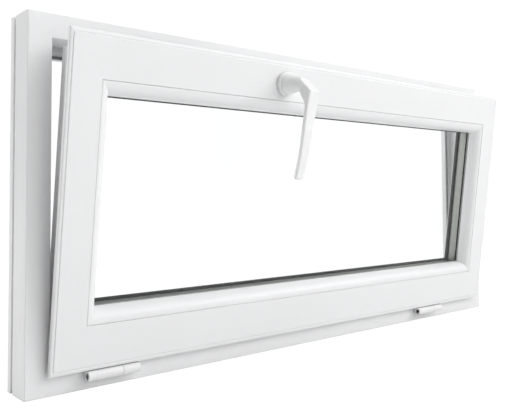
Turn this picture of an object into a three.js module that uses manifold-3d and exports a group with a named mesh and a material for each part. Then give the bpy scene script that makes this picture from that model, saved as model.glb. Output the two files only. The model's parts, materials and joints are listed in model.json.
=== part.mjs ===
// Bottom-hung tilt window: a white plastic outer frame, a glazed sash that tips into the room about two hinges
// at its foot, a lever handle with its gear and locking rod in the top rail, and a stay that limits the tilt.
// Millimetres. +X to the right seen from the room, -Y into the room, +Z up.
// The origin is on the underside of the sill, half-way along it and half-way through the frame's depth.
import * as THREE from "three";
import { mergeVertices } from "three/addons/utils/BufferGeometryUtils.js";
import Module from "manifold-3d";

const wasm = await Module();
wasm.setup();

// ---------- driving dimensions ----------
const WIDTH = 1050;
const HEIGHT = 500;
const DEPTH = 60; // of the frame, from the room face to the weather face
const TILT = THREE.MathUtils.degToRad(7.4); // how far the sash stands open on its stay
const GAP = 0.3; // between touching pieces
const WELD = 0.15; // each mitred end is cut back by this much

// Profiles are drawn in (u, v): u runs inwards from a bar's outer edge, v runs outdoors from the frame's room face.
const ROOM_Y = -DEPTH / 2; // where v = 0 lies

const FRAME_FACE = 33; // width of the frame's room face
const FRAME_LIP = 51.5; // reach of the outer stop
const LIP_V = 49; // room side of the outer stop
const FRAME_GROOVE = { near: 42, far: 48, deep: 5 }; // anchor groove along the outer edge
const FRAME_ROUND = 1.5;

const SASH_INSET = 27; // from the frame's outer edge to the sash flange
const SASH_WIDTH = WIDTH - 2 * SASH_INSET;
const SASH_HEIGHT = HEIGHT - 2 * SASH_INSET;
const RAIL = 81; // top and bottom rails, flange edge to bead tip
const STILE = 62; // the two stiles are the same section, narrower by STILE / RAIL
const SLIM = STILE / RAIL;
const FLANGE_BACK = -4.5;
const SASH_FRONT = -12;
const SASH_BACK = 46;
const BODY_U = 21; // flange overlap, where the sash body starts
const HARDWARE = { near: 14, far: 30, floor: 25 }; // groove that takes the locking gear
const CHAMBER = { u0: 29, u1: 57, v0: -8, v1: 42 };
const REBATE_U = 61.5; // floor of the glazing rebate
const LIP_U = 79; // top of the sash's weather lip
const LIP_FRONT = 41;

const PANE = 4;
const PANE_INNER_V = 14;
const PANE_OUTER_V = 34;
const GLASS_EDGE_U = 66.5;

const HINGE_V = -10; // hinge axis, in front of the frame
const HINGE_Z = 19.5;
const KNUCKLE_R = 6.9;
const PIN_R = 3.7;
const HINGE_STARTS = [-445, 277]; // left ends of the two barrels
const SASH_KNUCKLE = 51;
const FRAME_KNUCKLE = 26;
const KNUCKLE_GAP = 0.5;

const HANDLE_X = -135;
const HANDLE_U = 34.5; // spindle, from the top edge of the sash flange
const SPINDLE = 7;
const PITCH_R = 8.6; // pinion
const TEETH = 12;
const ROD_TRAVEL = (PITCH_R * Math.PI) / 2; // a quarter turn of the handle
const CAM_XS = [-208, 330]; // locking cams, unlocked
const CAM_R = 4;
const HARDWARE_V = 22; // middle of the hardware groove

const STAY_PIVOT_X = -425;
const STAY_LENGTH = 170;
const STAY_Z = 458.5; // underside of the stay arm

// ---------- geometry helpers ----------
const toVec2 = ([x, y]) => new THREE.Vector2(x, y);

function outline(points, holes = []) {
  const shape = new THREE.Shape(points.map(toVec2));
  shape.holes = holes.map((hole) => new THREE.Path(hole.map(toVec2)));
  return shape;
}

const rectangle = (u0, v0, u1, v1) => [
  [u0, v0],
  [u1, v0],
  [u1, v1],
  [u0, v1],
];

// Moves every vertex, and turns the faces out again if the move mirrored them.
function reshape(geometry, move) {
  const g = geometry.index ? geometry.toNonIndexed() : geometry;
  const position = g.getAttribute("position");
  const p = new THREE.Vector3();
  for (let i = 0; i < position.count; i++) {
    p.fromBufferAttribute(position, i);
    const q = move(p);
    position.setXYZ(i, q.x, q.y, q.z);
  }
  return facingOut(g);
}

function signedVolume(position) {
  const [a, b, c] = [new THREE.Vector3(), new THREE.Vector3(), new THREE.Vector3()];
  let total = 0;
  for (let i = 0; i < position.count; i += 3) {
    a.fromBufferAttribute(position, i);
    b.fromBufferAttribute(position, i + 1);
    c.fromBufferAttribute(position, i + 2);
    total += a.dot(b.cross(c)) / 6;
  }
  return total;
}

function facingOut(g) {
  const position = g.getAttribute("position");
  if (signedVolume(position) < 0) {
    const xyz = position.array;
    for (let i = 0; i < xyz.length; i += 9) {
      for (let k = 0; k < 3; k++) {
        const kept = xyz[i + 3 + k];
        xyz[i + 3 + k] = xyz[i + 6 + k];
        xyz[i + 6 + k] = kept;
      }
    }
  }
  const out = new THREE.BufferGeometry();
  out.setAttribute("position", position);
  out.computeVertexNormals();
  return out;
}

function solidOf(geometry) {
  const bare = new THREE.BufferGeometry();
  const source = geometry.index ? geometry.toNonIndexed() : geometry;
  bare.setAttribute("position", source.getAttribute("position"));
  const merged = mergeVertices(bare, 1e-4);
  const mesh = new wasm.Mesh({
    numProp: 3,
    vertProperties: new Float32Array(merged.attributes.position.array),
    triVerts: new Uint32Array(merged.index.array),
  });
  return new wasm.Manifold(mesh);
}

function geometryOf(solid) {
  const mesh = solid.getMesh();
  const g = new THREE.BufferGeometry();
  g.setAttribute("position", new THREE.BufferAttribute(new Float32Array(mesh.vertProperties), 3));
  g.setIndex(new THREE.BufferAttribute(new Uint32Array(mesh.triVerts), 1));
  const flat = g.toNonIndexed();
  flat.computeVertexNormals();
  return flat;
}

const join = (...parts) => geometryOf(parts.map(solidOf).reduce((a, b) => a.add(b)));
const cut = (body, ...tools) => geometryOf(tools.map(solidOf).reduce((a, b) => a.subtract(b), solidOf(body)));

// A box from its lowest and highest corners, in (x, v, z).
function block(x0, v0, z0, x1, v1, z1) {
  const g = new THREE.BoxGeometry(x1 - x0, v1 - v0, z1 - z0);
  return g.translate((x0 + x1) / 2, ROOM_Y + (v0 + v1) / 2, (z0 + z1) / 2);
}

// A round bar between two depths (along Y), two lengths (along X) or two heights (along Z).
const ROUND = 32;
function rodAlongY(x, z, radius, v0, v1, sides = ROUND) {
  const g = new THREE.CylinderGeometry(radius, radius, v1 - v0, sides);
  return g.translate(x, ROOM_Y + (v0 + v1) / 2, z);
}
function rodAlongX(x0, x1, v, z, radius, sides = ROUND) {
  const g = new THREE.CylinderGeometry(radius, radius, x1 - x0, sides);
  return g.rotateZ(Math.PI / 2).translate((x0 + x1) / 2, ROOM_Y + v, z);
}
function rodAlongZ(x, v, z0, z1, radius, sides = ROUND) {
  const g = new THREE.CylinderGeometry(radius, radius, z1 - z0, sides);
  return g.rotateX(Math.PI / 2).translate(x, ROOM_Y + v, (z0 + z1) / 2);
}

// A bar along X with its outer edge at z = 0 and its section hanging below it.
// Each end is cut back by mitre * u, so a mitre of 0 is a square end.
function bar(shape, length, mitre, cutBack = WELD) {
  const g = new THREE.ExtrudeGeometry(shape, { depth: 1, bevelEnabled: false });
  return reshape(g, (p) => {
    const end = length / 2 - mitre * p.x - cutBack;
    return new THREE.Vector3(p.z < 0.5 ? -end : end, ROOM_Y + p.y, -p.x);
  });
}

// A flat section drawn in (x, z) and given a depth from v0 to v1.
function plate(shape, v0, v1) {
  const g = new THREE.ExtrudeGeometry(shape, { depth: v1 - v0, bevelEnabled: false });
  return reshape(g, (p) => new THREE.Vector3(p.x, ROOM_Y + v0 + p.z, p.y));
}

// A section drawn in (v, z) and given a length from x0 to x1.
function strip(shape, x0, x1) {
  const g = new THREE.ExtrudeGeometry(shape, { depth: x1 - x0, bevelEnabled: false });
  return reshape(g, (p) => new THREE.Vector3(x0 + p.z, ROOM_Y + p.x, p.y));
}

function arc(cx, cy, radius, from, to, steps) {
  return Array.from({ length: steps + 1 }, (_, i) => {
    const angle = THREE.MathUtils.degToRad(from + ((to - from) * i) / steps);
    return [cx + radius * Math.cos(angle), cy + radius * Math.sin(angle)];
  });
}

// ---------- materials ----------
const finish = (color, roughness, metalness) =>
  new THREE.MeshStandardMaterial({ color, roughness, metalness });
const materials = {
  whitePlastic: finish(0xf3f4f4, 0.32, 0),
  handleWhite: finish(0xf6f6f6, 0.3, 0),
  hingeWhite: finish(0xf1f1f1, 0.3, 0),
  zincSteel: finish(0xb9bcbf, 0.4, 0.9),
  roller: finish(0x9a9c9e, 0.35, 0.9),
  galvanised: finish(0xa4a7a8, 0.5, 0.85),
  seal: finish(0x5c5e60, 0.75, 0),
  blackSeal: finish(0x1f2022, 0.7, 0),
  spacer: finish(0x9fa19c, 0.45, 0.6),
  glass: finish(0xe8f2ee, 0.03, 0),
  settingBlock: finish(0x3f6fa3, 0.6, 0),
};

function place(group, name, geometry, material, position = [0, 0, 0], turnY = 0) {
  const mesh = new THREE.Mesh(geometry, material);
  mesh.name = name;
  mesh.position.set(...position);
  mesh.rotation.y = turnY;
  group.add(mesh);
}

// The four sides of a rectangle of bars: where each outer edge lies, and which way the bar is turned.
function sides(halfWidth, low, high) {
  const middle = (low + high) / 2;
  return {
    top: { position: [0, 0, high], turn: 0 },
    bottom: { position: [0, 0, low], turn: Math.PI },
    left: { position: [-halfWidth, 0, middle], turn: -Math.PI / 2 },
    right: { position: [halfWidth, 0, middle], turn: Math.PI / 2 },
  };
}

// ---------- outer frame ----------
const frameGroup = new THREE.Group();
const frameSides = sides(WIDTH / 2, 0, HEIGHT);
const FRAME_NAMES = { top: "frame_head", bottom: "frame_sill", left: "frame_jamb_left", right: "frame_jamb_right" };
const FRAME_CHAMBERS = [
  rectangle(8, 4, 30, 38),
  rectangle(8, 41, 30, 49),
  rectangle(8, 52, 48, 57),
];

function frameProfile() {
  const r = FRAME_ROUND;
  const { near, far, deep } = FRAME_GROOVE;
  return outline(
    [
      ...arc(r, r, r, 180, 270, 3),
      ...arc(FRAME_FACE - r, r, r, 270, 360, 3),
      [FRAME_FACE, LIP_V],
      ...arc(FRAME_LIP - r, LIP_V + r, r, 270, 360, 2),
      ...arc(FRAME_LIP - r, DEPTH - r, r, 0, 90, 2),
      ...arc(r, DEPTH - r, r, 90, 180, 2),
      [0, far],
      [deep, far],
      [deep, near],
      [0, near],
    ],
    FRAME_CHAMBERS,
  );
}

const DRAIN_XS = [-300, 300];
const DRAIN = { halfLength: 14, z0: 8, z1: 13 };

function buildFrame() {
  const profile = frameProfile();
  for (const [side, name] of Object.entries(FRAME_NAMES)) {
    const length = side === "top" || side === "bottom" ? WIDTH : HEIGHT;
    let g = bar(profile, length, 1);
    if (side === "bottom") {
      const { halfLength, z0, z1 } = DRAIN;
      const slots = DRAIN_XS.map((x) => block(x - halfLength, 55, -z1, x + halfLength, 61, -z0));
      g = cut(g, ...slots);
    }
    place(frameGroup, name, g, materials.whitePlastic, frameSides[side].position, frameSides[side].turn);
  }
}

// Box-section stiffeners, cut square, inside the frame's main chamber.
const STEEL_WALL = 1.6;
function buildFrameSteel() {
  const [u0, v0, u1, v1] = [8 + GAP, 4 + GAP, 30 - GAP, 38 - GAP];
  const hollow = rectangle(u0 + STEEL_WALL, v0 + STEEL_WALL, u1 - STEEL_WALL, v1 - STEEL_WALL);
  const shape = outline(rectangle(u0, v0, u1, v1), [hollow]);
  const endCut = 34;
  for (const side of Object.keys(frameSides)) {
    const length = side === "top" || side === "bottom" ? WIDTH : HEIGHT;
    const { position, turn } = frameSides[side];
    place(frameGroup, "frame_steel_" + side, bar(shape, length, 0, endCut), materials.galvanised, position, turn);
  }
}

// A picture-frame ring between two insets from the sash flange or from the frame's outer edge.
function ring(halfWidth, low, high, outer, inner, slim, v0, v1) {
  const box = (inset) =>
    rectangle(-halfWidth + inset * slim, low + inset, halfWidth - inset * slim, high - inset);
  return plate(outline(box(outer), [box(inner)]), v0, v1);
}

function buildFrameSeal() {
  const lip = ring(WIDTH / 2, 0, HEIGHT, 46.5, 50.5, 1, 46.6, LIP_V - GAP);
  place(frameGroup, "frame_seal", lip, materials.seal);
}

function buildDrainCaps() {
  const { z0, z1 } = DRAIN;
  const [wide, tall, proud, wall] = [19, 6.5, 4, 1.2];
  const middle = (z0 + z1) / 2;
  DRAIN_XS.forEach((x, i) => {
    const shell = block(x - wide, DEPTH, middle - tall, x + wide, DEPTH + proud, middle + tall);
    const inside = block(
      x - wide + wall, DEPTH - 1, middle - tall - 1, x + wide - wall, DEPTH + proud - wall, middle + tall - wall,
    );
    place(frameGroup, i ? "drain_cap_right" : "drain_cap_left", cut(shell, inside), materials.whitePlastic);
  });
}

// ---------- sash ----------
// Everything in this group is drawn with the sash shut, and the group turns about the hinge axis.
const sashPivot = new THREE.Group();
sashPivot.position.set(0, ROOM_Y + HINGE_V, HINGE_Z);
sashPivot.rotation.x = TILT;
const sashGroup = new THREE.Group();
sashGroup.position.set(0, -(ROOM_Y + HINGE_V), -HINGE_Z);
sashPivot.add(sashGroup);

const SASH_LOW = SASH_INSET;
const SASH_HIGH = HEIGHT - SASH_INSET;
const SASH_HALF = SASH_WIDTH / 2;
const sashSides = sides(SASH_HALF, SASH_LOW, SASH_HIGH);
const isStile = (side) => side === "left" || side === "right";
const SASH_NAMES = {
  top: "sash_top_rail",
  bottom: "sash_bottom_rail",
  left: "sash_stile_left",
  right: "sash_stile_right",
};

// One bar of the sash: the same section all round, narrowed on the stiles, so that its lines meet at each mitre.
function sashBar(points, holes, side, square = null) {
  const narrow = isStile(side) ? SLIM : 1;
  const scaled = (list) => list.map(([u, v]) => [u * narrow, v]);
  const mitre = isStile(side) ? 1 / SLIM : SLIM;
  const length = isStile(side) ? SASH_HEIGHT : SASH_WIDTH;
  const shape = outline(scaled(points), holes.map(scaled));
  return square === null ? bar(shape, length, mitre) : bar(shape, length, 0, square * (isStile(side) ? 1 : SLIM));
}

const SASH_OUTLINE = [
  [0, FLANGE_BACK],
  [0, -9.3],
  [0.5, -10.3],
  [1.6, -10.9],
  [4.6, -11.2],
  [5.2, -10.7],
  [5.8, -10.9],
  [7, SASH_FRONT],
  [REBATE_U - 0.6, SASH_FRONT],
  [REBATE_U, -11.4],
  [REBATE_U, LIP_FRONT],
  [LIP_U, LIP_FRONT],
  ...arc(LIP_U - 1.5, SASH_BACK - 1.5, 1.5, 0, 90, 2),
  [BODY_U, SASH_BACK],
  [BODY_U, HARDWARE.far],
  [HARDWARE.floor, HARDWARE.far],
  [HARDWARE.floor, HARDWARE.near],
  [BODY_U, HARDWARE.near],
  [BODY_U, FLANGE_BACK],
];

const HANDLE_Z = SASH_HIGH - HANDLE_U;
const SCREW_X = 12.5; // handle screws, either side of the spindle
const SPINDLE_HOLE_R = 6;
const SCREW_HOLE_R = 2.9;
const GEAR = { half: 35, near: 16, far: 28, top: HARDWARE.floor + GAP, bottom: 50, wall: 2 };

function handleHoles(v0, v1) {
  return [
    rodAlongY(HANDLE_X, -HANDLE_U, SPINDLE_HOLE_R, v0, v1),
    ...[-SCREW_X, SCREW_X].map((x) => rodAlongY(HANDLE_X + x, -HANDLE_U, SCREW_HOLE_R, v0, v1, 16)),
  ];
}

function buildSash() {
  const { u0, u1, v0, v1 } = CHAMBER;
  for (const [side, name] of Object.entries(SASH_NAMES)) {
    let g = sashBar(SASH_OUTLINE, [rectangle(u0, v0, u1, v1)], side);
    if (side === "top") {
      const half = GEAR.half + 1;
      const pocket = block(HANDLE_X - half, GEAR.near - 0.5, -u0 - 1, HANDLE_X + half, GEAR.far + 0.5, -HARDWARE.floor + 1);
      g = cut(g, pocket, ...handleHoles(SASH_FRONT - 1, v0 + 1));
    }
    place(sashGroup, name, g, materials.whitePlastic, sashSides[side].position, sashSides[side].turn);
  }
}

// Channel-section stiffeners with their open side towards the locking gear.
function buildSashSteel() {
  const [u0, u1] = [CHAMBER.u0 + GAP, CHAMBER.u1 - GAP];
  const [v0, v1] = [CHAMBER.v0 + GAP, CHAMBER.v1 - GAP];
  const w = STEEL_WALL;
  const channel = [
    [u0, v0], [u1, v0], [u1, v1], [u0, v1],
    [u0, v1 - w], [u1 - w, v1 - w], [u1 - w, v0 + w], [u0, v0 + w],
  ];
  const endCut = 60;
  for (const side of Object.keys(sashSides)) {
    let g = sashBar(channel, [], side, endCut);
    if (side === "top") g = cut(g, ...handleHoles(v0 - 1, v0 + w + 1));
    place(sashGroup, "sash_steel_" + side, g, materials.galvanised, sashSides[side].position, sashSides[side].turn);
  }
}

// Glazing beads: clipped in from the room side, with a rounded face that falls back to the glass.
function beadOutline() {
  const foot = REBATE_U + GAP;
  const back = PANE_INNER_V - 3;
  const face = new THREE.QuadraticBezierCurve(
    new THREE.Vector2(65, SASH_FRONT + 0.4),
    new THREE.Vector2(78.8, -9.5),
    new THREE.Vector2(80.6, 5.5),
  );
  return [
    [foot, back],
    [foot, SASH_FRONT + 0.9],
    [foot + 0.6, SASH_FRONT + 0.4],
    ...face.getPoints(8).map((p) => [p.x, p.y]),
    [RAIL, 7],
    [RAIL, back],
  ];
}

function buildBeads() {
  for (const side of Object.keys(sashSides)) {
    const { position, turn } = sashSides[side];
    place(sashGroup, "glazing_bead_" + side, sashBar(beadOutline(), [], side), materials.whitePlastic, position, turn);
  }
}

const sashRing = (outer, inner, v0, v1) =>
  ring(SASH_HALF, SASH_LOW, SASH_HIGH, outer, inner, SLIM, v0, v1);

function buildGlazing() {
  const pane = (v0) =>
    block(
      -SASH_HALF + GLASS_EDGE_U * SLIM, v0, SASH_LOW + GLASS_EDGE_U,
      SASH_HALF - GLASS_EDGE_U * SLIM, v0 + PANE, SASH_HIGH - GLASS_EDGE_U,
    );
  place(sashGroup, "glass_inner", pane(PANE_INNER_V), materials.glass);
  place(sashGroup, "glass_outer", pane(PANE_OUTER_V), materials.glass);
  const spacer = sashRing(69, 79.2, PANE_INNER_V + PANE + GAP, PANE_OUTER_V - GAP);
  place(sashGroup, "glass_spacer", spacer, materials.spacer);
  const inner = sashRing(74, 81.6, PANE_INNER_V - 3 + GAP, PANE_INNER_V - GAP);
  place(sashGroup, "glazing_gasket_inner", inner, materials.seal);
  const outerV = PANE_OUTER_V + PANE + GAP;
  const bed = sashRing(72, 82.2, outerV, LIP_FRONT - GAP);
  const tip = sashRing(LIP_U + GAP, 82.2, LIP_FRONT - GAP - 1, LIP_FRONT + 1.5);
  place(sashGroup, "glazing_gasket_outer", join(bed, tip), materials.blackSeal);
  const [halfLength, x] = [40, 330];
  for (const [name, middle] of [["setting_block_left", -x], ["setting_block_right", x]]) {
    const low = SASH_LOW + REBATE_U + GAP;
    const high = SASH_LOW + GLASS_EDGE_U - GAP;
    const packer = block(middle - halfLength, 13, low, middle + halfLength, 39, high);
    place(sashGroup, name, packer, materials.settingBlock);
  }
}

// The overlap seal behind the flange is cut away where the hinge leaves pass it.
function buildSashSeal() {
  const [outer, inner, v0, v1] = [3, 8, FLANGE_BACK + GAP, -0.8];
  const [x0, z0, z1] = [SASH_HALF - outer, SASH_LOW + outer, SASH_HIGH - outer];
  const [x1, z2, z3] = [SASH_HALF - inner, SASH_LOW + inner, SASH_HIGH - inner];
  const clear = 4;
  const leftEnd = HINGE_STARTS[0] - clear;
  const rightEnd = HINGE_STARTS[1] + SASH_KNUCKLE + clear;
  const round = [
    [leftEnd, z0], [leftEnd, z2], [-x1, z2], [-x1, z3], [x1, z3], [x1, z2], [rightEnd, z2],
    [rightEnd, z0], [x0, z0], [x0, z1], [-x0, z1], [-x0, z0],
  ];
  place(sashGroup, "sash_seal", plate(outline(round), v0, v1), materials.seal);
  const between = rectangle(HINGE_STARTS[0] + SASH_KNUCKLE + clear, z0, HINGE_STARTS[1] - clear, z2);
  place(sashGroup, "sash_seal_bottom", plate(outline(between), v0, v1), materials.seal);
}

// ---------- hinges ----------
const BORE_R = PIN_R + GAP;

function buildHinges() {
  HINGE_STARTS.forEach((start, i) => {
    const side = i ? "right" : "left";
    const seam = start + SASH_KNUCKLE;
    const end = seam + KNUCKLE_GAP + FRAME_KNUCKLE;
    place(sashGroup, "hinge_sash_leaf_" + side, sashLeaf(start, seam), materials.hingeWhite);
    place(frameGroup, "hinge_frame_leaf_" + side, frameLeaf(seam + KNUCKLE_GAP, end), materials.hingeWhite);
    const pin = rodAlongX(start + 9, end - 1.5, HINGE_V, HINGE_Z, PIN_R, 24);
    place(frameGroup, "hinge_pin_" + side, pin, materials.zincSteel);
  });
}

// The sash leaf rises behind the flange and bends back under the sash body.
function sashLeaf(x0, x1) {
  const [front, back] = [FLANGE_BACK + 0.4, -1.7];
  const plateTop = SASH_LOW + BODY_U - GAP;
  const thick = 2.5;
  const leaf = strip(
    outline([
      [front, 25], [front, plateTop], [28, plateTop], [28, plateTop - thick], [back, plateTop - thick],
      [back, HINGE_Z], [-9, HINGE_Z], [-9, 25],
    ]),
    x0, x1,
  );
  return cut(join(rodAlongX(x0, x1, HINGE_V, HINGE_Z, KNUCKLE_R), leaf), bore(x0, x1));
}

// The frame leaf is screwed flat on the sill's room face.
function frameLeaf(x0, x1) {
  const flat = block(x0, -2.6, HINGE_Z - KNUCKLE_R + 0.4, x1, 0, 27);
  const web = block(x0, -9, HINGE_Z - 6, x1, -1, HINGE_Z);
  const barrel = rodAlongX(x0, x1, HINGE_V, HINGE_Z, KNUCKLE_R);
  return cut(join(flat, web, barrel), bore(x0, x1));
}

const bore = (x0, x1) => rodAlongX(x0 - 1, x1 + 1, HINGE_V, HINGE_Z, BORE_R, 24);

// ---------- locking gear in the top rail ----------
// Heights in the sash are measured down from its top edge.
const down = (u) => SASH_HIGH - u;
const FACEPLATE = { top: BODY_U + GAP, bottom: BODY_U + 1.8, half: 400 };
const ROD = { top: 23.1, bottom: 24.6, near: 16, far: 28, x0: -238, x1: 362 };

function buildFaceplate() {
  const { top, bottom, half } = FACEPLATE;
  const strap = block(-half, HARDWARE.near + GAP, down(bottom), half, HARDWARE.far - GAP, down(top));
  const clear = CAM_R + 0.5;
  const slots = CAM_XS.map((x) =>
    block(x - ROD_TRAVEL - clear, HARDWARE_V - clear, down(bottom + 1), x + clear, HARDWARE_V + clear, down(top - 1)),
  );
  place(sashGroup, "gear_faceplate", cut(strap, ...slots), materials.zincSteel);
}

function buildGearBox() {
  const { half, near, far, top, bottom, wall } = GEAR;
  const shell = block(HANDLE_X - half, near, down(bottom), HANDLE_X + half, far, down(top));
  const cavity = block(
    HANDLE_X - half + wall, near + wall, down(bottom - wall), HANDLE_X + half - wall, far - wall, down(top - 1),
  );
  const holes = handleHoles(near - 1, near + wall + 1).map((g) => g.translate(0, 0, SASH_HIGH));
  place(sashGroup, "gear_box", cut(shell, cavity, ...holes), materials.zincSteel);
}

const TOOTH = { pitch: (2 * Math.PI * PITCH_R) / TEETH, thick: 1.5, tip: 1, root: 1.35, slope: 0.36 };

function toothedWheel() {
  const { thick, tip, root, slope } = TOOTH;
  const points = [];
  for (let i = 0; i < TEETH; i++) {
    const middle = (2 * Math.PI * i) / TEETH;
    for (const [radius, half] of [
      [PITCH_R - root, thick / 2 + slope * root],
      [PITCH_R + tip, thick / 2 - slope * tip],
      [PITCH_R + tip, -(thick / 2 - slope * tip)],
      [PITCH_R - root, -(thick / 2 + slope * root)],
    ]) {
      const angle = middle - half / radius;
      points.push([radius * Math.cos(angle), radius * Math.sin(angle)]);
    }
  }
  return points;
}

function buildHandleInner(group) {
  const clear = SPINDLE / 2 + GAP;
  const wheel = plate(outline(toothedWheel(), [rectangle(-clear, -clear, clear, clear)]), 19, 25);
  place(group, "gear_pinion", wheel.translate(0, -ROOM_Y, 0), materials.zincSteel);
  const half = SPINDLE / 2;
  const spindle = block(-half, -34, -half, half, 25.5, half).translate(0, -ROOM_Y, 0);
  place(group, "handle_spindle", spindle, materials.zincSteel);
}

function buildDriveRod() {
  const { top, bottom, near, far, x0, x1 } = ROD;
  const strap = block(x0, near, down(bottom), x1, far, down(top));
  const { pitch, thick, tip, root, slope } = TOOTH;
  const pitchLine = HANDLE_U - PITCH_R;
  const tooth = (x) =>
    plate(
      outline([
        [x - thick / 2 - slope * root, down(pitchLine - root)],
        [x - thick / 2 + slope * tip, down(pitchLine + tip)],
        [x + thick / 2 - slope * tip, down(pitchLine + tip)],
        [x + thick / 2 + slope * root, down(pitchLine - root)],
      ]),
      20, 24,
    );
  const first = HANDLE_X - 1.5 * pitch;
  const teeth = Array.from({ length: 7 }, (_, i) => tooth(first + i * pitch));
  const last = first + 6 * pitch;
  const backing = block(first - pitch, 20, down(pitchLine - root + 0.05), last + pitch, 24, down(bottom - 0.5));
  place(sashGroup, "drive_rod", join(strap, backing, ...teeth), materials.zincSteel);
  const CAM_TOP = 11.5;
  CAM_XS.forEach((x, i) => {
    const g = rodAlongZ(x, HARDWARE_V, down(ROD.top - GAP), down(CAM_TOP), CAM_R, 20);
    place(sashGroup, i ? "locking_cam_right" : "locking_cam_left", g, materials.roller);
  });
}

function buildStrikers() {
  const face = HEIGHT - FRAME_FACE;
  CAM_XS.forEach((x, i) => {
    const locked = x - ROD_TRAVEL;
    const base = block(locked - 14, 8, face - 2.3, x + 16, 36, face - GAP);
    const hook = block(locked - 8, 12, face - 9, locked + 5.5, 16.4, face - 1);
    place(frameGroup, i ? "striker_right" : "striker_left", join(base, hook), materials.zincSteel);
  });
}

// ---------- stay ----------
const SWING = (() => {
  const [y, z] = [HARDWARE_V - HINGE_V, STAY_Z - HINGE_Z];
  const travel = y * (1 - Math.cos(TILT)) + z * Math.sin(TILT);
  return Math.asin(travel / STAY_LENGTH);
})();
const ARM = { thick: 2.5, half: 7 };
const STUD_R = 3;

function buildStay() {
  const face = HEIGHT - FRAME_FACE;
  const top = STAY_Z + ARM.thick + GAP;
  const body = block(STAY_PIVOT_X - 15, 10, top, STAY_PIVOT_X + 15, 40, face - GAP);
  const foot = block(STAY_PIVOT_X - 15, 32, STAY_Z - 3, STAY_PIVOT_X + 15, 40, face - 1);
  place(frameGroup, "stay_bracket", join(body, foot), materials.zincSteel);
  const pin = rodAlongZ(STAY_PIVOT_X, HARDWARE_V, STAY_Z - 1.5, top - 0.05, STUD_R, 20);
  place(frameGroup, "stay_pivot_pin", pin, materials.zincSteel);

  const arm = new THREE.Group();
  arm.position.set(STAY_PIVOT_X, ROOM_Y + HARDWARE_V, STAY_Z);
  arm.rotation.z = -SWING;
  const { thick, half } = ARM;
  const end = STAY_LENGTH;
  const contour = outline(
    [...arc(end, 0, half, -90, 90, 8), ...arc(0, 0, half, 90, 270, 8)],
    [arc(0, 0, STUD_R + GAP, 360, 0, 20).slice(1), arc(end, 0, 2, 360, 0, 12).slice(1)],
  );
  const blade = new THREE.ExtrudeGeometry(contour, { depth: thick, bevelEnabled: false });
  place(arm, "stay_arm", facingOut(blade), materials.zincSteel);
  const stud = new THREE.LatheGeometry(
    [[0, -4.1], [STUD_R, -4.1], [STUD_R, -GAP], [2 - GAP, -GAP], [2 - GAP, thick + 0.8], [0, thick + 0.8]].map(toVec2),
    20,
  );
  place(arm, "stay_stud", stud.rotateX(Math.PI / 2).translate(end, 0, 0), materials.zincSteel);
  root.add(arm);
}

// The stud runs between two low walls on the faceplate.
function buildStayTrack() {
  const middle = STAY_PIVOT_X + STAY_LENGTH;
  const [x0, x1] = [middle - 15, middle + 6];
  const [half, wall] = [4.6, 2.4];
  const outer = block(x0 - 3, HARDWARE_V - half - wall, down(FACEPLATE.top - GAP), x1 + 3, HARDWARE_V + half + wall, down(17.4));
  const inner = block(x0, HARDWARE_V - half, down(FACEPLATE.top + 1), x1, HARDWARE_V + half, down(16));
  place(sashGroup, "stay_track", cut(outer, inner), materials.zincSteel);
}

// ---------- handle ----------
// Drawn about the spindle, hanging down; depth d runs from the sash face into the room.
const handleGroup = new THREE.Group();
handleGroup.position.set(HANDLE_X, ROOM_Y, HANDLE_Z);
sashGroup.add(handleGroup);
const intoRoom = (d) => SASH_FRONT - d;

const ROSETTE = { radius: 19, tall: 9, wall: 1.8, hole: 8.5 };
const BASE = { radius: 16.5, thick: 4 };

// A body of revolution about the spindle, from [radius, d] points.
function turned(points, segments = 40) {
  const g = new THREE.LatheGeometry(points.map(toVec2), segments);
  return reshape(g, (p) => new THREE.Vector3(p.x, intoRoom(p.y), p.z));
}

function buildRosette() {
  const { radius, tall, wall, hole } = ROSETTE;
  const cover = turned([
    [hole, tall], [hole, tall - wall], [radius - wall, tall - wall], [radius - wall, GAP], [radius, GAP],
    [radius, tall - 1.6], [radius - 0.6, tall - 0.4], [radius - 2, tall], [hole, tall],
  ]);
  place(handleMount, "handle_rosette", cover, materials.handleWhite);
  const disc = turned([[hole - 1, GAP], [BASE.radius, GAP], [BASE.radius, BASE.thick], [hole - 1, BASE.thick], [hole - 1, GAP]]);
  const holes = [-SCREW_X, SCREW_X].map((x) => {
    const g = new THREE.CylinderGeometry(SCREW_HOLE_R, SCREW_HOLE_R, 12, 16);
    return g.translate(x, intoRoom(2), 0);
  });
  place(handleMount, "handle_base", cut(disc, ...holes), materials.zincSteel);
  for (const [name, x] of [["handle_screw_left", -SCREW_X], ["handle_screw_right", SCREW_X]]) {
    const screw = turned(
      [[0, -29.5], [2.4, -29.5], [2.4, BASE.thick + GAP], [3.8, BASE.thick + GAP], [3.8, 6.6], [0, 6.6]], 16,
    );
    place(handleMount, name, screw.translate(x, 0, 0), materials.zincSteel);
  }
}

// The rosette, its base and its screws stay still while the lever turns.
const handleMount = new THREE.Group();
handleMount.position.copy(handleGroup.position);
sashGroup.add(handleMount);

const LEVER = { half: 11, tipScale: 0.76, length: 148 };
const ELBOW_FACET = [[44.5, 6.5], [67.5, -10]]; // sloping flat on top of the elbow, as (d, z)

function leverSide() {
  const outer = new THREE.CatmullRomCurve3(
    [[64.5, -28], [62, -60], [57.8, -103], [51, -142]].map(([d, z]) => new THREE.Vector3(d, z, 0)),
  );
  const inner = new THREE.CatmullRomCurve3(
    [[44.5, -144], [51.3, -103], [54.9, -60], [56.6, -36]].map(([d, z]) => new THREE.Vector3(d, z, 0)),
  );
  const flat = (curve) => curve.getPoints(10).map((p) => [p.x, p.y]);
  const [start, end] = ELBOW_FACET;
  return [
    [42, 8.5], start, end, [67.3, -14], ...flat(outer), [48, -LEVER.length], ...flat(inner), [49, -22], [42, -10],
  ];
}

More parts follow.
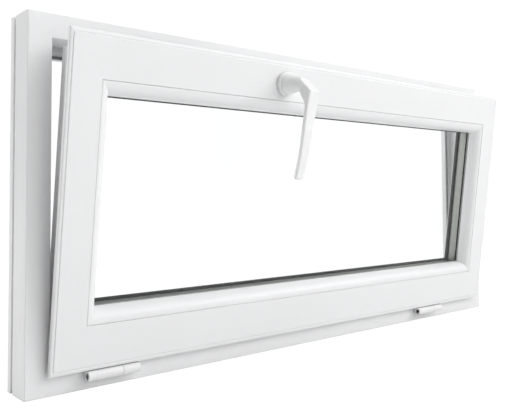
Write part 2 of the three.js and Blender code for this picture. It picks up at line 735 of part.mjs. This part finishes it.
// What lies above the plane of the elbow's facet.
function aboveFacet() {
  const [[d0, z0], [d1, z1]] = ELBOW_FACET;
  const slope = (z1 - z0) / (d1 - d0);
  const heightAt = (d) => z0 + slope * (d - d0);
  const [near, far, high] = [36, 90, 40];
  const side = outline([[near, heightAt(near)], [far, heightAt(far)], [far, high], [near, high]]);
  const g = new THREE.ExtrudeGeometry(side, { depth: 60, bevelEnabled: false });
  return reshape(g, (p) => new THREE.Vector3(p.z - 30, intoRoom(p.x), p.y));
}

function buildLever() {
  const side = new THREE.ExtrudeGeometry(outline(leverSide()), { depth: 2, bevelEnabled: false });
  const blade = reshape(side, (p) => {
    const along = THREE.MathUtils.clamp((-p.y - 20) / (LEVER.length - 20), 0, 1);
    const half = LEVER.half * (1 - (1 - LEVER.tipScale) * along);
    return new THREE.Vector3((p.z - 1) * half, intoRoom(p.x), p.y);
  });
  const neck = turned([[0, ROSETTE.tall + GAP], [17, ROSETTE.tall + GAP], [16.4, 12], [13.6, 22], [11.2, 34], [10, 46], [9.4, 50], [0, 50]]);
  const clear = SPINDLE / 2 + GAP;
  const socket = block(-clear, SASH_FRONT - 23, -clear, clear, SASH_FRONT, clear).translate(0, -ROOM_Y, 0);
  place(handleGroup, "handle_lever", cut(join(cut(neck, aboveFacet()), blade), socket), materials.handleWhite);
}

// ---------- assembly ----------
const root = new THREE.Group();
root.add(frameGroup, sashPivot);

buildFrame();
buildFrameSteel();
buildFrameSeal();
buildDrainCaps();
buildSash();
buildSashSteel();
buildBeads();
buildGlazing();
buildSashSeal();
buildHinges();
buildFaceplate();
buildGearBox();
buildHandleInner(handleGroup);
buildDriveRod();
buildStrikers();
buildStay();
buildStayTrack();
buildRosette();
buildLever();

export default root;
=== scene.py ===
import json
import math

import bmesh
import bpy
from mathutils import Matrix, Vector


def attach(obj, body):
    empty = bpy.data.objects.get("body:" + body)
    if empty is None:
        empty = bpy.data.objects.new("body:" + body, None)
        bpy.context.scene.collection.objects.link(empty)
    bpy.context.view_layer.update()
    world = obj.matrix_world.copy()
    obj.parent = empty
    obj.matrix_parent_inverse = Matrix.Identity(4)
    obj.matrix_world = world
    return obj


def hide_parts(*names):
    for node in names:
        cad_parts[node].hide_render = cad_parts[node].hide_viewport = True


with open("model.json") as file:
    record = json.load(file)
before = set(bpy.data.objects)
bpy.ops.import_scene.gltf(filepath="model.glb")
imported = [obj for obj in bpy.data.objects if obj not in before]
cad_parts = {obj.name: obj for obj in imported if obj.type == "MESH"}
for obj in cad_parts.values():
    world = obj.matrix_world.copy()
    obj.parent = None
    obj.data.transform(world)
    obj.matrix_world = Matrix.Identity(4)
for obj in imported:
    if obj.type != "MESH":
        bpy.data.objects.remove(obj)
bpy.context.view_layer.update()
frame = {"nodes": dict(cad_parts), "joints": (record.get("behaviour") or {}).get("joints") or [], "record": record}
NODES = frame["nodes"]

MM = 0.001


# ---------- shader arithmetic ----------

class Value:
    """A shader socket that takes part in ordinary Python arithmetic."""

    def __init__(self, finish, socket):
        self.finish = finish
        self.socket = socket

    def maths(self, operation, *values):
        settings = {"operation": operation}
        return self.finish.add("ShaderNodeMath", settings, dict(enumerate(values)))

    def __add__(self, other):
        return self.maths("ADD", self, other)

    def __radd__(self, other):
        return self.maths("ADD", other, self)

    def __sub__(self, other):
        return self.maths("SUBTRACT", self, other)

    def __rsub__(self, other):
        return self.maths("SUBTRACT", other, self)

    def __mul__(self, other):
        return self.maths("MULTIPLY", self, other)

    def __rmul__(self, other):
        return self.maths("MULTIPLY", other, self)

    def power(self, exponent):
        return self.maths("POWER", self, exponent)

    def most(self, other):
        return self.maths("MAXIMUM", self, other)


class Finish:
    """One material, or the surround, while it is being put together."""

    def __init__(self, name, library=bpy.data.materials):
        self.block = library.new(name)
        self.block.use_nodes = True
        self.tree = self.block.node_tree
        self.tree.nodes.clear()

    def add(self, kind, settings=None, sockets=None, output=0):
        """A node of this kind: its settings come first, then its sockets' values or links."""
        node = self.tree.nodes.new(kind)
        for key, value in (settings or {}).items():
            setattr(node, key, value)
        for key, value in (sockets or {}).items():
            self.feed(node.inputs[key], value)
        return Value(self, node.outputs[output]) if len(node.outputs) else None

    def feed(self, socket, value):
        if isinstance(value, Value):
            self.tree.links.new(value.socket, socket)
        else:
            socket.default_value = value

    def noise(self, scale, detail, along=(1.0, 1.0, 1.0)):
        """Noise in the object's own space. A small number in along draws it out on that axis."""
        place = self.add("ShaderNodeTexCoord", output="Object")
        drawn = self.add("ShaderNodeMapping", {}, {"Vector": place, "Scale": along})
        sockets = {"Vector": drawn, "Scale": scale, "Detail": detail, "Roughness": 0.5}
        return self.add("ShaderNodeTexNoise", {}, sockets)

    def blend(self, factor, first, second):
        """A colour between two colours."""
        settings = {"data_type": "RGBA"}
        return self.add("ShaderNodeMix", settings, {0: factor, 6: first, 7: second}, output=2)

    def spread(self, value, low, high, to_low=0.0, to_high=1.0):
        """The value between low and high, taken to the new limits and held there."""
        sockets = {0: value, 1: low, 2: high, 3: to_low, 4: to_high}
        return self.add("ShaderNodeMapRange", {}, sockets)

    def likeness(self, first, second):
        """1 where two directions agree, -1 where they are opposed."""
        settings = {"operation": "DOT_PRODUCT"}
        return self.add("ShaderNodeVectorMath", settings, {0: first, 1: second}, output="Value")

    def openness(self, reach):
        """1 in the open, falling to 0 in corners narrower than the reach."""
        settings = {"samples": CORNER_SAMPLES}
        return self.add("ShaderNodeAmbientOcclusion", settings, {"Distance": reach}, output="AO")

    def edge(self, reach):
        """1 along outward and inward creases, 0 on flat ground."""
        rounded = self.add("ShaderNodeBevel", {"samples": CORNER_SAMPLES}, {"Radius": reach})
        flat = self.add("ShaderNodeNewGeometry", output="Normal")
        return self.spread(self.likeness(rounded, flat), 0.995, 0.85)

    def bump(self, height, strength, distance):
        sockets = {"Height": height, "Strength": strength, "Distance": distance}
        return self.add("ShaderNodeBump", {}, sockets)

    def surface(self, sockets):
        return self.output(self.add("ShaderNodeBsdfPrincipled", {}, sockets))

    def output(self, shader, kind="ShaderNodeOutputMaterial"):
        self.add(kind, {}, {"Surface": shader})
        return self.block


CORNER_SAMPLES = 4


# ---------- finishes ----------

WHITE = (0.872, 0.874, 0.878)
# Grey painted into the plastic's narrow joints as shade.
CREVICE_SHADE_GREY = (0.5, 0.49, 0.46, 1.0)
# Grey painted into the powder coat's corners as shade.
CORNER_SHADE_GREY = (0.42, 0.42, 0.41, 1.0)
# Near-black painted into the plated metal's corners as shade.
CORNER_SHADE_DARK = (0.09, 0.085, 0.08, 1.0)
UNLIT_BORE = (0.012, 0.012, 0.012, 1.0)


def shade(tone, amount):
    """A tone made darker or lighter, as a full colour."""
    return tuple(min(1.0, part * amount) for part in tone) + (1.0,)


def drawn_along(axis, ratio):
    """Noise scales that turn specks into lines along one axis."""
    return tuple(ratio if letter == axis else 1.0 for letter in "XYZ")


def white_plastic(name, along):
    """Extruded plastic: faintly cloudy, with die lines, fine peel, scuffs, and patchy painted shade in the joints.
    """
    f = Finish(name)
    cloud = f.noise(9.0, 3.0)
    lines = f.noise(900.0, 2.0, drawn_along(along, 0.02))
    peel = f.noise(1800.0, 2.0)
    scuffs = f.spread(f.noise(240.0, 5.0, drawn_along("Z", 0.25)), 0.66, 0.74)
    # Painted shade: the white is greyed in patches in corners and joints narrower than 4 mm.
    dust = (1 - f.openness(4 * MM)) * f.spread(f.noise(160.0, 4.0), 0.3, 0.7, 0.15, 0.45)
    mottle = f.spread(cloud * 0.6 + lines * 0.4, 0.35, 0.65)
    clean = f.blend(mottle, shade(WHITE, 0.98), shade(WHITE, 1.0))
    scuffed = f.blend(scuffs * 0.12, clean, shade(WHITE, 0.86))
    rough = f.spread(lines * 0.5 + cloud * 0.5, 0.3, 0.7, 0.27, 0.38)
    return f.surface({
        "Base Color": f.blend(dust, scuffed, CREVICE_SHADE_GREY),
        "Roughness": rough + scuffs * 0.12 + dust * 0.3,
        "Normal": f.bump(lines * 0.6 + peel * 0.4, 0.12, 0.15 * MM),
    })


def powder_coat(name, tone, rough, hollow=None):
    """Baked white powder over metal: orange peel, greyer rubbed edges, painted shade in the corners, and unlit
    bores.
    """
    f = Finish(name)
    peel = f.noise(1100.0, 2.0)
    cloud = f.noise(34.0, 3.0)
    worn = f.edge(0.9 * MM) * f.spread(f.noise(300.0, 4.0), 0.4, 0.65)
    # Painted shade: the coat is greyed in corners narrower than 3 mm.
    corner_shade = (1 - f.openness(3 * MM)) * 0.35
    coat = f.blend(f.spread(cloud, 0.35, 0.65), shade(tone, 0.98), shade(tone, 1.0))
    rubbed = f.blend(worn * 0.35, coat, shade(tone, 0.8))
    colour = f.blend(corner_shade, rubbed, CORNER_SHADE_GREY)
    if hollow:
        colour = f.blend(f.spread(f.openness(hollow), 0.3, 0.12), colour, UNLIT_BORE)
    sheen = f.spread(cloud, 0.3, 0.7, rough - 0.04, rough + 0.05)
    return f.surface({
        "Base Color": colour,
        "Roughness": sheen - worn * 0.08 + corner_shade * 0.3,
        "Normal": f.bump(peel, 0.14, 0.18 * MM),
    })


def plated_steel(name, tone, rough, along="X"):
    """Plated metal: drawn lines, cloudy plating, bright rubbed edges, and patchy painted shade, which also dulls
    the metal, in the corners.
    """
    f = Finish(name)
    cloud = f.noise(60.0, 4.0)
    lines = f.noise(1500.0, 2.0, drawn_along(along, 0.04))
    # Painted shade: near-black laid in patches into corners narrower than 3 mm, where it also dulls the metal.
    corner_shade = (1 - f.openness(3 * MM)) * f.spread(f.noise(210.0, 4.0), 0.3, 0.7, 0.2, 0.6)
    plate = f.blend(f.spread(cloud, 0.3, 0.7), shade(tone, 0.8), shade(tone, 1.0))
    bright = f.blend(f.edge(0.6 * MM) * 0.6, plate, shade(tone, 1.35))
    sheen = f.spread(cloud * 0.6 + lines * 0.4, 0.3, 0.7, rough - 0.08, rough + 0.1)
    return f.surface({
        "Base Color": f.blend(corner_shade, bright, CORNER_SHADE_DARK),
        "Metallic": 0.9 - corner_shade * 0.5,
        "Roughness": sheen + corner_shade * 0.3,
        "Normal": f.bump(lines, 0.2, 0.1 * MM),
    })


def rubber(name, tone):
    """Extruded seal: matt, with dust-pale patches and paler rubbed edges."""
    f = Finish(name)
    dust = f.noise(120.0, 4.0)
    grain = f.noise(2500.0, 2.0)
    dusty = f.blend(f.spread(dust, 0.45, 0.75), shade(tone, 1.0), shade(tone, 1.3))
    return f.surface({
        "Base Color": f.blend(f.edge(0.5 * MM) * 0.3, dusty, shade(tone, 1.6)),
        "Roughness": f.spread(dust, 0.3, 0.7, 0.6, 0.8),
        "Normal": f.bump(grain, 0.25, 0.2 * MM),
    })


def clear_glass():
    """Float glass: nearly clear, with a faint mirror that grows towards the edge-on view."""
    f = Finish("clear_glass")
    gloss = f.add("ShaderNodeBsdfGlossy", {}, {
        "Color": (0.97, 0.985, 0.98, 1.0),
        "Roughness": 0.01,
        "Normal": f.bump(f.noise(4.0, 1.0), 0.02, 1 * MM),
    })
    through = f.add("ShaderNodeBsdfTransparent", {}, {"Color": (0.997, 1.0, 0.999, 1.0)})
    edge_on = f.add("ShaderNodeLayerWeight", {}, {"Blend": 0.5}, output="Facing")
    smears = f.spread(f.noise(22.0, 5.0), 0.55, 0.75) * 0.006
    mirror = 0.018 + edge_on.power(5.0) * 0.7 + smears
    return f.output(f.add("ShaderNodeMixShader", {}, {0: mirror, 1: through, 2: gloss}))


def moulded_block():
    """Blue moulded packer with paler rubbed edges."""
    f = Finish("setting_block_blue")
    cloud = f.noise(80.0, 3.0)
    body = f.blend(f.spread(cloud, 0.3, 0.7), (0.05, 0.16, 0.34, 1.0), (0.07, 0.2, 0.4, 1.0))
    return f.surface({
        "Base Color": f.blend(f.edge(0.8 * MM) * 0.4, body, (0.16, 0.3, 0.5, 1.0)),
        "Roughness": f.spread(cloud, 0.3, 0.7, 0.45, 0.6),
        "Normal": f.bump(cloud, 0.1, 0.3 * MM),
    })


def make_finishes():
    hinge_bore = 12 * MM
    return {
        "plastic_level": white_plastic("white_plastic_level", "X"),
        "plastic_upright": white_plastic("white_plastic_upright", "Z"),
        "handle_white": powder_coat("handle_white", (0.94, 0.94, 0.94), 0.24),
        "hinge_white": powder_coat("hinge_white", (0.85, 0.85, 0.855), 0.3, hinge_bore),
        "zinc_steel": plated_steel("zinc_plate", (0.55, 0.56, 0.57), 0.34),
        "roller": plated_steel("turned_steel", (0.5, 0.5, 0.51), 0.25, "Z"),
        "galvanised": plated_steel("galvanised", (0.5, 0.52, 0.53), 0.45),
        "seal": rubber("grey_rubber", (0.16, 0.162, 0.166)),
        "pane_gasket": rubber("pale_grey_rubber", (0.34, 0.345, 0.345)),
        "black_seal": rubber("black_rubber", (0.012, 0.012, 0.013)),
        "spacer": plated_steel("spacer_aluminium", (0.3, 0.31, 0.29), 0.45),
        "glass": clear_glass(),
        "setting_block": moulded_block(),
    }


UPRIGHT = (
    "frame_jamb_left", "frame_jamb_right", "sash_stile_left", "sash_stile_right",
    "glazing_bead_left", "glazing_bead_right",
)
LEVEL = (
    "frame_head", "frame_sill", "sash_top_rail", "sash_bottom_rail",
    "glazing_bead_top", "glazing_bead_bottom",
)


def finish_of(node):
    if node == "glazing_gasket_inner":
        return FINISHES["pane_gasket"]
    if SLOTS[node] == "white_plastic":
        return FINISHES["plastic_upright" if node in UPRIGHT else "plastic_level"]
    return FINISHES[SLOTS[node]]


def dress_nodes():
    for node, obj in NODES.items():
        for material_slot in obj.material_slots:
            material_slot.material = finish_of(node)


# ---------- pieces made from the frame's own solids ----------

SMOOTH_BELOW = math.radians(33.0)  # creases softer than this are shaded round
FLAT_WITHIN = math.radians(0.4)
SAME_POINT = 2e-6


def solid_copy(node):
    """A node's mesh with its corners joined and its flat faces whole."""
    bm = bmesh.new()
    bm.from_mesh(NODES[node].data)
    bmesh.ops.remove_doubles(bm, verts=bm.verts, dist=SAME_POINT)
    bmesh.ops.dissolve_limit(bm, angle_limit=FLAT_WITHIN, verts=bm.verts, edges=bm.edges)
    return bm


def corner_edges(bm, sharper_than, longer_than):
    """The outward corners that a maker would ease."""
    return [e for e in bm.edges
            if len(e.link_faces) == 2 and e.is_convex and e.calc_length() > longer_than
            and e.calc_face_angle() > sharper_than]


def ease(bm, edges, width, segments):
    if edges:
        bmesh.ops.bevel(bm, geom=edges, offset=width, offset_type="OFFSET", segments=segments,
                        profile=0.5, affect="EDGES", clamp_overlap=True)


def add_piece(name, bm, node):
    """Makes a mesh the shown form of a node, with the node's body, slot and finish."""
    mesh = bpy.data.meshes.new(name)
    bmesh.ops.recalc_face_normals(bm, faces=bm.faces)
    for face in bm.faces:
        face.smooth = True
    bm.to_mesh(mesh)
    bm.free()
    mesh.set_sharp_from_angle(angle=SMOOTH_BELOW)
    piece = bpy.data.objects.new(name, mesh)
    bpy.context.collection.objects.link(piece)
    mesh.materials.append(finish_of(node))
    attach(piece, BODY_OF[node])
    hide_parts(node)
    return piece


def even_shading(piece):
    """Keeps wide faces flat right up to their eased edges."""
    modifier = piece.modifiers.new("even_shading", "WEIGHTED_NORMAL")
    modifier.keep_sharp = True


BAR_CORNER, BAR_EASE = math.radians(38.0), 0.4 * MM
WELD_GROWTH, BEAD_GROWTH = 0.15 * MM, 0.1 * MM  # how far each slanting end grows
SLANTING = (0.3, 0.95)  # how much a mitred end faces along its bar


def close_mitres(bm, along, growth):
    """Runs a bar's slanting ends out until they meet the next bar's, as welding does."""
    ends = {}
    for face in bm.faces:
        lean = face.normal.dot(along)
        if SLANTING[0] < abs(lean) < SLANTING[1]:
            for vert in face.verts:
                ends[vert] = along * math.copysign(growth, lean)
    for vert, shift in ends.items():
        vert.co += shift


def finish_bars():
    """Every white bar keeps its section and gets softly rounded long edges and closed corners."""
    for node in UPRIGHT + LEVEL:
        bm = solid_copy(node)
        spine = max(bm.edges, key=lambda e: e.calc_length())
        along = (spine.verts[1].co - spine.verts[0].co).normalized()
        ease(bm, corner_edges(bm, BAR_CORNER, spine.calc_length() * 0.5), BAR_EASE, segments=3)
        bm.normal_update()
        close_mitres(bm, along, BEAD_GROWTH if node.startswith("glazing") else WELD_GROWTH)
        even_shading(add_piece(node + "_bar", bm, node))


METAL_CORNER, METAL_SHORTEST = math.radians(55.0), 0.6 * MM
EASED = {
    "drain_cap_left": 0.5, "drain_cap_right": 0.5,
    "hinge_sash_leaf_left": 0.45, "hinge_sash_leaf_right": 0.45,
    "hinge_frame_leaf_left": 0.45, "hinge_frame_leaf_right": 0.45,
    "hinge_pin_left": 0.5, "hinge_pin_right": 0.5,
    "striker_left": 0.35, "striker_right": 0.35, "stay_bracket": 0.4, "stay_arm": 0.25,
    "locking_cam_left": 0.5, "locking_cam_right": 0.5, "stay_track": 0.25, "gear_faceplate": 0.2,
}  # width of the eased edge, in mm


def finish_hardware():
    """Small fittings keep their shape and lose their knife edges."""
    for node, width in EASED.items():
        bm = solid_copy(node)
        ease(bm, corner_edges(bm, METAL_CORNER, METAL_SHORTEST), width * MM, segments=2)
        even_shading(add_piece(node + "_eased", bm, node))


# ---------- handle ----------

SASH_FACE = 12 * MM  # from the handle's joint to the sash's room face


class Spindle:
    """Measures in mm from the spindle: x to the right, d out of the sash face, z up the sash."""

    def __init__(self):
        joint = next(j for j in frame["joints"] if j["name"] == "handle_turn")
        self.out = Vector(joint["axis"])
        self.up = Vector((0.0, self.out.z, -self.out.y))
        self.face = Vector(joint["pos_m"]) + self.out * SASH_FACE

    def at(self, x, d, z):
        return self.face + (Vector((x, 0.0, 0.0)) + self.out * d + self.up * z) * MM


ROUND_STEPS = 128


def turn_profile(bm, spindle, profile):
    """The section (radius, d) turned about the spindle, ring by ring. Radius 0 is on the axis."""
    rings = []
    angles = [2 * math.pi * i / ROUND_STEPS for i in range(ROUND_STEPS)]
    for radius, d in profile:
        if radius == 0:
            rings.append([bm.verts.new(spindle.at(0, d, 0))])
            continue
        points = [spindle.at(radius * math.cos(a), d, radius * math.sin(a)) for a in angles]
        rings.append([bm.verts.new(point) for point in points])
    for first, second in zip(rings, rings[1:]):
        join_rings(bm, first, second)
    return rings


def join_rings(bm, first, second):
    """Faces between two rings, or between a ring and a point."""
    for i in range(ROUND_STEPS):
        j = (i + 1) % ROUND_STEPS
        corners = [first[i % len(first)], first[j % len(first)],
                   second[j % len(second)], second[i % len(second)]]
        bm.faces.new(list(dict.fromkeys(corners)))


def make_rosette(spindle):
    """A round cover with a shadow line near the sash and a softly turned rim."""
    rim_centre, rim_radius, rim_steps = (17.4, 7.4), 1.6, 6
    turns = [math.pi / 2 * i / rim_steps for i in range(rim_steps + 1)]
    rim = [(rim_centre[0] + rim_radius * math.cos(a), rim_centre[1] + rim_radius * math.sin(a))
           for a in turns]
    profile = [
        (17.2, 0.4), (18.7, 0.4), (19.0, 0.7), (19.0, 2.0), (18.5, 2.2), (18.5, 2.8),
        (19.0, 3.0), *rim, (14.0, 9.1), (9.0, 9.0), (8.5, 8.7), (8.5, 7.3), (17.2, 7.2),
    ]
    bm = bmesh.new()
    rings = turn_profile(bm, spindle, profile)
    join_rings(bm, rings[-1], rings[0])
    even_shading(add_piece("handle_rosette_cover", bm, "handle_rosette"))


def between(before, start, end, after, t):
    """A point at t on the smooth curve from start to end, which also heeds its neighbours."""
    slope = end - before
    bend = 2 * before - 5 * start + 4 * end - after
    twist = 3 * start - before - 3 * end + after
    return 0.5 * (2 * start + slope * t + bend * t * t + twist * t ** 3)


def smooth_line(points, steps=8):
    """Points along a smooth curve through the given ones."""
    padded = [points[0]] + points + [points[-1]]
    line = []
    for quad in zip(padded, padded[1:], padded[2:], padded[3:]):
        for i in range(steps):
            line.append(tuple(between(*part, i / steps) for part in zip(*quad)))
    return line + [points[-1]]


ELBOW_FACET = ((44.5, 6.5), (67.5, -10.0))
LEVER_HALF, LEVER_TAPER, LEVER_LENGTH = 11.0, 0.24, 148.0
TAPER_START = 20.0  # how far below the spindle the lever starts to narrow
BLADE_RIM = 1.5 * MM


def lever_side():
    """The lever seen from its side, as (d, z)."""
    front = smooth_line([
        (67.3, -14.0), (64.5, -32.0), (62.0, -60.0), (57.8, -103.0), (51.5, -141.0),
    ])
    back = smooth_line([
        (44.5, -143.0), (51.3, -103.0), (54.9, -60.0), (56.6, -36.0), (54.0, -27.0),
    ])
    tip = [(50.0, -146.5), (48.0, -148.0), (45.5, -147.0)]
    return [(42.0, 8.5), *ELBOW_FACET, *front, *tip, *back, (49.0, -21.0), (42.0, -10.5)]


def add_blade(bm, spindle):
    """The lever's side drawn across its width, narrowing to the tip, with its rims cut back."""
    left, right = [], []
    for d, z in lever_side():
        along = min(1.0, max(0.0, (-z - TAPER_START) / (LEVER_LENGTH - TAPER_START)))
        half = LEVER_HALF * (1 - LEVER_TAPER * along)
        left.append(bm.verts.new(spindle.at(-half, d, z)))
        right.append(bm.verts.new(spindle.at(half, d, z)))
    sides = [bm.faces.new(left), bm.faces.new(right[::-1])]
    for i in range(len(left)):
        j = (i + 1) % len(left)
        bm.faces.new([left[i], right[i], right[j], left[j]])
    bmesh.ops.recalc_face_normals(bm, faces=bm.faces)
    ease(bm, list({e for side in sides for e in side.edges}), BLADE_RIM, segments=1)


def add_neck(bm, spindle):
    """The cone from the rosette to the elbow, cut off along the plane of the elbow's facet."""
    neck = bmesh.new()
    turn_profile(neck, spindle, [
        (0, 9.3), (17.2, 9.3), (17.0, 10.4), (16.0, 13.0), (14.9, 16.5), (13.6, 21.0),
        (12.5, 26.0), (11.6, 31.5), (10.9, 37.0), (10.3, 43.0), (9.8, 50.0), (0, 50.0),
    ])
    (d0, z0), (d1, z1) = ELBOW_FACET
    normal = spindle.out * (z0 - z1) + spindle.up * (d1 - d0)
    cut = bmesh.ops.bisect_plane(neck, geom=neck.verts[:] + neck.edges[:] + neck.faces[:],
                                 plane_co=spindle.at(0, d0, z0), plane_no=normal,
                                 clear_outer=True)
    rim = [e for e in cut["geom_cut"] if isinstance(e, bmesh.types.BMEdge)]
    bmesh.ops.contextual_create(neck, geom=rim)
    bmesh.ops.recalc_face_normals(neck, faces=neck.faces)
    mesh = bpy.data.meshes.new("neck")
    neck.to_mesh(mesh)
    neck.free()
    bm.from_mesh(mesh)
    bpy.data.meshes.remove(mesh)


CASTING_GRAIN = 0.65 * MM
RUB_STRENGTH, RUB_PASSES = 0.5, 5


def make_lever(spindle):
    """Neck and lever run into each other as one casting, with its corners rubbed round."""
    bm = bmesh.new()
    add_blade(bm, spindle)
    add_neck(bm, spindle)
    piece = add_piece("handle_lever_casting", bm, "handle_lever")
    casting = piece.modifiers.new("casting", "REMESH")
    casting.mode = "VOXEL"
    casting.voxel_size = CASTING_GRAIN
    casting.use_smooth_shade = True
    rubbed = piece.modifiers.new("rubbed", "SMOOTH")
    rubbed.factor = RUB_STRENGTH
    rubbed.iterations = RUB_PASSES


# ---------- view, floor and light ----------

EYE = Vector((-842.7, -861.7, 259.4)) * MM
EYE_TURN, EYE_RISE, EYE_LEAN = math.radians(40.54), math.radians(2.42), math.radians(0.31)
FILM_WIDTH, LENS, LENS_SHIFT = 36.0, 45.4, -0.0812
NEAREST_SEEN = 0.01


def aim_camera():
    """Stands at the left of the window at half its height, looking along it to the right."""
    data = bpy.data.cameras.new("view")
    data.sensor_width = FILM_WIDTH
    data.lens = LENS
    data.shift_y = LENS_SHIFT
    data.clip_start = NEAREST_SEEN
    camera = bpy.data.objects.new("view", data)
    turned = Matrix.Rotation(-EYE_TURN, 4, "Z")
    raised = Matrix.Rotation(math.pi / 2 + EYE_RISE, 4, "X")
    leaned = Matrix.Rotation(-EYE_LEAN, 4, "Z")
    camera.matrix_world = Matrix.Translation(EYE) @ turned @ raised @ leaned
    bpy.context.collection.objects.link(camera)
    bpy.context.scene.camera = camera


FLOOR_RADIUS, FLOOR_SIDES, FLOOR_DROP = 40.0, 96, 0.6 * MM
FLOOR_GREY = (0.8, 0.8, 0.8, 1.0)
FLOOR_SHINE, FLOOR_GLOW = 1.1, 0.9  # the glow's strength, and its share where it is seen
PURE_WHITE = (1.0, 1.0, 1.0, 1.0)


def lay_floor():
    """A wide pale floor that glows when looked at, so that it fades into the background."""
    mesh = bpy.data.meshes.new("floor")
    bm = bmesh.new()
    bmesh.ops.create_circle(bm, cap_ends=True, segments=FLOOR_SIDES, radius=FLOOR_RADIUS)
    bmesh.ops.translate(bm, verts=bm.verts, vec=(0, 0, -FLOOR_DROP))
    bm.to_mesh(mesh)
    bm.free()
    floor = bpy.data.objects.new("floor", mesh)
    bpy.context.collection.objects.link(floor)
    f = Finish("pale_floor")
    lit = f.add("ShaderNodeBsdfDiffuse", {}, {"Color": FLOOR_GREY})
    glow = f.add("ShaderNodeEmission", {}, {"Color": PURE_WHITE, "Strength": FLOOR_SHINE})
    seen = f.add("ShaderNodeLightPath", output="Is Camera Ray")
    mirrored = f.add("ShaderNodeLightPath", output="Is Glossy Ray")
    shown = seen.most(mirrored) * FLOOR_GLOW
    mesh.materials.append(f.output(f.add("ShaderNodeMixShader", {}, {0: shown, 1: lit, 2: glow})))


SURROUND = 0.8
SURROUND_TONE = (0.985, 0.99, 1.0, 1.0)
BACKDROP_GLOW = 1.02
FLAG = (-0.76, -0.64, 0.1)  # direction of the black flag, from the window
FLAG_SHADE = 0.1  # share of the surround's light that is left at the flag
OUTDOORS = (0.6, 0.8, 0.0)  # direction behind the window
OUTDOOR_SHADE = 0.68  # share of the surround's light that is left there
WINDOW_MIDDLE = Vector((0.0, 0.0, 0.25))
LAMPS = [
    ("right_high", (2.5, -2.5, 2.0), 2.2, 48.0),
    ("front_high", (0.6, -3.0, 2.2), 2.0, 22.0),
    ("front_low", (-0.4, -3.0, 0.5), 1.6, 12.0),
    ("top", (0.0, -0.4, 3.0), 2.2, 22.0),
    ("back_left", (-2.8, 1.6, 0.9), 2.0, 34.0),
]  # name, place, width in metres and strength in watts


def light_room():
    """A white surround, dark at the left front where a black flag stands, and large soft lights."""
    f = Finish("surround", bpy.data.worlds)
    towards = f.add("ShaderNodeTexCoord", output="Generated")
    flagged = f.spread(f.likeness(towards, FLAG), -0.1, 0.8, SURROUND, SURROUND * FLAG_SHADE)
    dimmed = f.spread(f.likeness(towards, OUTDOORS), -0.2, 0.7, 1.0, OUTDOOR_SHADE)
    light = {"Color": SURROUND_TONE, "Strength": flagged * dimmed}
    felt = f.add("ShaderNodeBackground", {}, light)
    seen = f.add("ShaderNodeBackground", {}, {"Color": PURE_WHITE, "Strength": BACKDROP_GLOW})
    by_camera = f.add("ShaderNodeLightPath", output="Is Camera Ray")
    both = f.add("ShaderNodeMixShader", {}, {0: by_camera, 1: felt, 2: seen})
    bpy.context.scene.world = f.output(both, "ShaderNodeOutputWorld")
    bpy.context.scene.view_settings.view_transform = "Standard"
    for lamp in LAMPS:
        soft_light(*lamp)


def soft_light(name, place, size, watts):
    data = bpy.data.lights.new(name, "AREA")
    data.shape = "SQUARE"
    data.size = size
    data.energy = watts
    lamp = bpy.data.objects.new(name, data)
    lamp.location = place
    aim = WINDOW_MIDDLE - Vector(place)
    lamp.rotation_euler = aim.to_track_quat("-Z", "Y").to_euler()
    lamp.visible_camera = False
    bpy.context.collection.objects.link(lamp)


# ---------- the window ----------

record = frame["record"]
SLOTS = {part["node"]: part["material_slot"] for part in record["subparts"]}
BODY_OF = {node: body for body, group in record["behaviour"]["bodies"].items() for node in group}

aim_camera()
lay_floor()
light_room()
FINISHES = make_finishes()
dress_nodes()
finish_bars()
finish_hardware()
handle = Spindle()
make_rosette(handle)
make_lever(handle)
